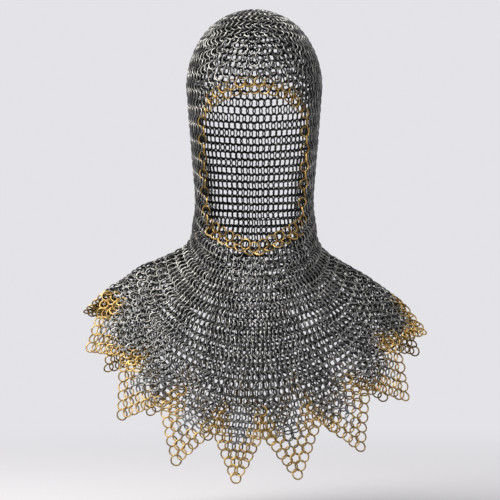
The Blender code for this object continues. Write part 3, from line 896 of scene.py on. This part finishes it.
class COIF_OT_dags(bpy.types.Operator):
    """Weave the sixteen dags, steel inside and brass outside"""

    bl_idname = "coif.dags"
    bl_label = "Weave Dags"

    def execute(self, context):
        tools = kit(context)
        chance = random.Random(DAG_SEED)
        for index in range(DAG_COUNT):
            name = f"dag_{index + 1:02d}"
            field, edging = dag_rings(index, chance)
            weave_piece(tools, field, "oiled_steel", name, f"{name}_field")
            weave_piece(tools, edging, "brass", name, f"{name}_edging")
        return {"FINISHED"}


class COIF_OT_stage(bpy.types.Operator):
    """Set the floor, backdrop, lights and camera"""

    bl_idname = "coif.stage"
    bl_label = "Set Stage"

    def execute(self, context):
        stage = context.scene.coif_stage
        set_world(context.scene, stage)
        lay_floor(stage)
        place_lights(stage)
        place_camera(context.scene, stage)
        context.scene.view_settings.view_transform = "Standard"
        return {"FINISHED"}


# The soft light's colour from straight below to straight above
SKY = ((0.0, (0.01, 0.01, 0.011)), (0.5, (0.05, 0.05, 0.06)), (0.72, (0.26, 0.26, 0.3)),
       (1.0, (1.0, 1.0, 1.0)))
# How light the lit floor is, as a share of the backdrop, and where it runs out into the backdrop, in metres
FLOOR_TONE = 0.72
FLOOR_RADIUS = 12.0
FLOOR_ROUGHNESS = 0.8
FADE_FROM, FADE_TO = 0.3, 1.5
# Each softbox: where it stands, what it is turned to and how wide it is, in metres
Softbox = collections.namedtuple("Softbox", "name place aim size")
OVERHEAD = Softbox("overhead softbox", (-0.95, -0.45, 1.2), (0.0, 0.0, -0.25), 1.4)
FRONT = Softbox("front softbox", (-1.4, -2.2, 0.9), (0.0, 0.0, -0.3), 1.2)
LAMP_COLOUR = (1.0, 0.97, 0.92)


def in_view(nodes, links):
    """1 for what the camera sees, straight or in metal, and 0 for light that only falls on things."""
    path = nodes.new("ShaderNodeLightPath")
    seen = path.outputs["Is Camera Ray"]
    for kind in ("Is Glossy Ray", "Is Transmission Ray"):
        either = nodes.new("ShaderNodeMath")
        either.operation = "MAXIMUM"
        links.new(seen, either.inputs[0])
        links.new(path.outputs[kind], either.inputs[1])
        seen = either.outputs["Value"]
    return seen


def set_world(scene, stage):
    """A plain backdrop for the camera and for gloss, and soft light that is brightest from above."""
    world = bpy.data.worlds.new("studio")
    world.use_nodes = True
    scene.world = world
    nodes, links = world.node_tree.nodes, world.node_tree.links
    backdrop = nodes["Background"]
    backdrop.inputs["Color"].default_value = (*stage.backdrop, 1.0)
    light = nodes.new("ShaderNodeBackground")
    light.inputs["Strength"].default_value = stage.soft_light
    way = nodes.new("ShaderNodeTexCoord")
    parts = nodes.new("ShaderNodeSeparateXYZ")
    height = nodes.new("ShaderNodeMapRange")
    height.inputs["From Min"].default_value = -1.0
    links.new(way.outputs["Generated"], parts.inputs["Vector"])
    links.new(parts.outputs["Z"], height.inputs["Value"])
    sky = ramp(nodes, SKY)
    links.new(height.outputs["Result"], sky.inputs["Fac"])
    links.new(sky.outputs["Color"], light.inputs["Color"])
    choose = nodes.new("ShaderNodeMixShader")
    links.new(in_view(nodes, links), choose.inputs["Fac"])
    links.new(light.outputs["Background"], choose.inputs[1])
    links.new(backdrop.outputs["Background"], choose.inputs[2])
    links.new(choose.outputs["Shader"], nodes["World Output"].inputs["Surface"])


def lay_floor(stage):
    """A round floor that keeps the coif's shadow and runs out into the colour of the backdrop."""
    deselect()
    bpy.ops.mesh.primitive_circle_add(
        vertices=96, radius=FLOOR_RADIUS, fill_type="NGON", location=(0, 0, -stage.floor_drop))
    floor = bpy.context.object
    floor.name = "floor"
    bpy.ops.object.transform_apply(location=True, rotation=True, scale=True)
    finish, nodes, links, shader = start_finish("pale floor")
    shader.inputs["Base Color"].default_value = (*shade(stage.backdrop, FLOOR_TONE), 1.0)
    shader.inputs["Roughness"].default_value = FLOOR_ROUGHNESS
    plain = nodes.new("ShaderNodeEmission")
    plain.inputs["Color"].default_value = (*stage.backdrop, 1.0)
    spot = nodes.new("ShaderNodeTexCoord")
    reach = nodes.new("ShaderNodeVectorMath")
    reach.operation = "LENGTH"
    links.new(spot.outputs["Object"], reach.inputs[0])
    fade = nodes.new("ShaderNodeMapRange")
    fade.inputs["From Min"].default_value = FADE_FROM
    fade.inputs["From Max"].default_value = FADE_TO
    fade.interpolation_type = "SMOOTHSTEP"
    links.new(reach.outputs["Value"], fade.inputs["Value"])
    seen = nodes.new("ShaderNodeMath")
    seen.operation = "MULTIPLY"
    links.new(in_view(nodes, links), seen.inputs[0])
    links.new(fade.outputs["Result"], seen.inputs[1])
    mixed = nodes.new("ShaderNodeMixShader")
    links.new(seen.outputs["Value"], mixed.inputs["Fac"])
    links.new(shader.outputs["BSDF"], mixed.inputs[1])
    links.new(plain.outputs["Emission"], mixed.inputs[2])
    links.new(mixed.outputs["Shader"], nodes["Material Output"].inputs["Surface"])
    floor.data.materials.append(finish)


def place_lights(stage):
    """A broad softbox above the left shoulder and a weaker one in front, high on the same side."""
    for box, power in ((OVERHEAD, stage.overhead), (FRONT, stage.front_fill)):
        deselect()
        bpy.ops.object.light_add(type="AREA", location=box.place)
        lamp = bpy.context.object
        lamp.name = box.name
        lamp.rotation_euler = (Vector(box.aim) - Vector(box.place)).to_track_quat("-Z", "Y").to_euler()
        lamp.data.size = box.size
        lamp.data.energy = power
        lamp.data.color = LAMP_COLOUR


def place_camera(scene, stage):
    """A level camera in front, as far off as the picture's perspective asks."""
    deselect()
    place = (stage.camera_aside, -stage.camera_distance, stage.camera_height)
    bpy.ops.object.camera_add(location=place, rotation=(math.pi / 2, 0.0, 0.0))
    camera = bpy.context.object
    camera.name = "camera"
    camera.data.lens = camera.data.sensor_width * stage.camera_distance / stage.view_width
    scene.camera = camera


class COIF_PT_panel(bpy.types.Panel):
    """The coif's pieces and settings"""

    bl_idname = "COIF_PT_panel"
    bl_label = "Mail Coif"
    bl_space_type = "VIEW_3D"
    bl_region_type = "UI"
    bl_category = "Mail Coif"

    def draw(self, context):
        scene = context.scene
        for group in (scene.coif_mail, scene.coif_finish, scene.coif_stage):
            box = self.layout.box()
            for name in group.__annotations__:
                box.prop(group, name)
        for operator in OPERATORS:
            self.layout.operator(operator.bl_idname)


GROUPS = {"coif_mail": MailSettings, "coif_finish": FinishSettings, "coif_stage": StageSettings}
OPERATORS = (COIF_OT_hood, COIF_OT_neck, COIF_OT_mantle, COIF_OT_edgings, COIF_OT_dags, COIF_OT_stage)


def register():
    for group in GROUPS.values():
        bpy.utils.register_class(group)
    for name, group in GROUPS.items():
        setattr(bpy.types.Scene, name, bpy.props.PointerProperty(type=group))
    for operator in OPERATORS:
        bpy.utils.register_class(operator)
    bpy.utils.register_class(COIF_PT_panel)


def unregister():
    bpy.utils.unregister_class(COIF_PT_panel)
    for operator in reversed(OPERATORS):
        bpy.utils.unregister_class(operator)
    for name in GROUPS:
        delattr(bpy.types.Scene, name)
    for group in GROUPS.values():
        bpy.utils.unregister_class(group)


def main():
    register()
    bpy.ops.coif.hood()
    bpy.ops.coif.neck()
    bpy.ops.coif.mantle()
    bpy.ops.coif.edgings()
    bpy.ops.coif.dags()
    bpy.data.objects.remove(shared["ring"])
    bpy.ops.coif.stage()


if __name__ == "__main__":
    main()
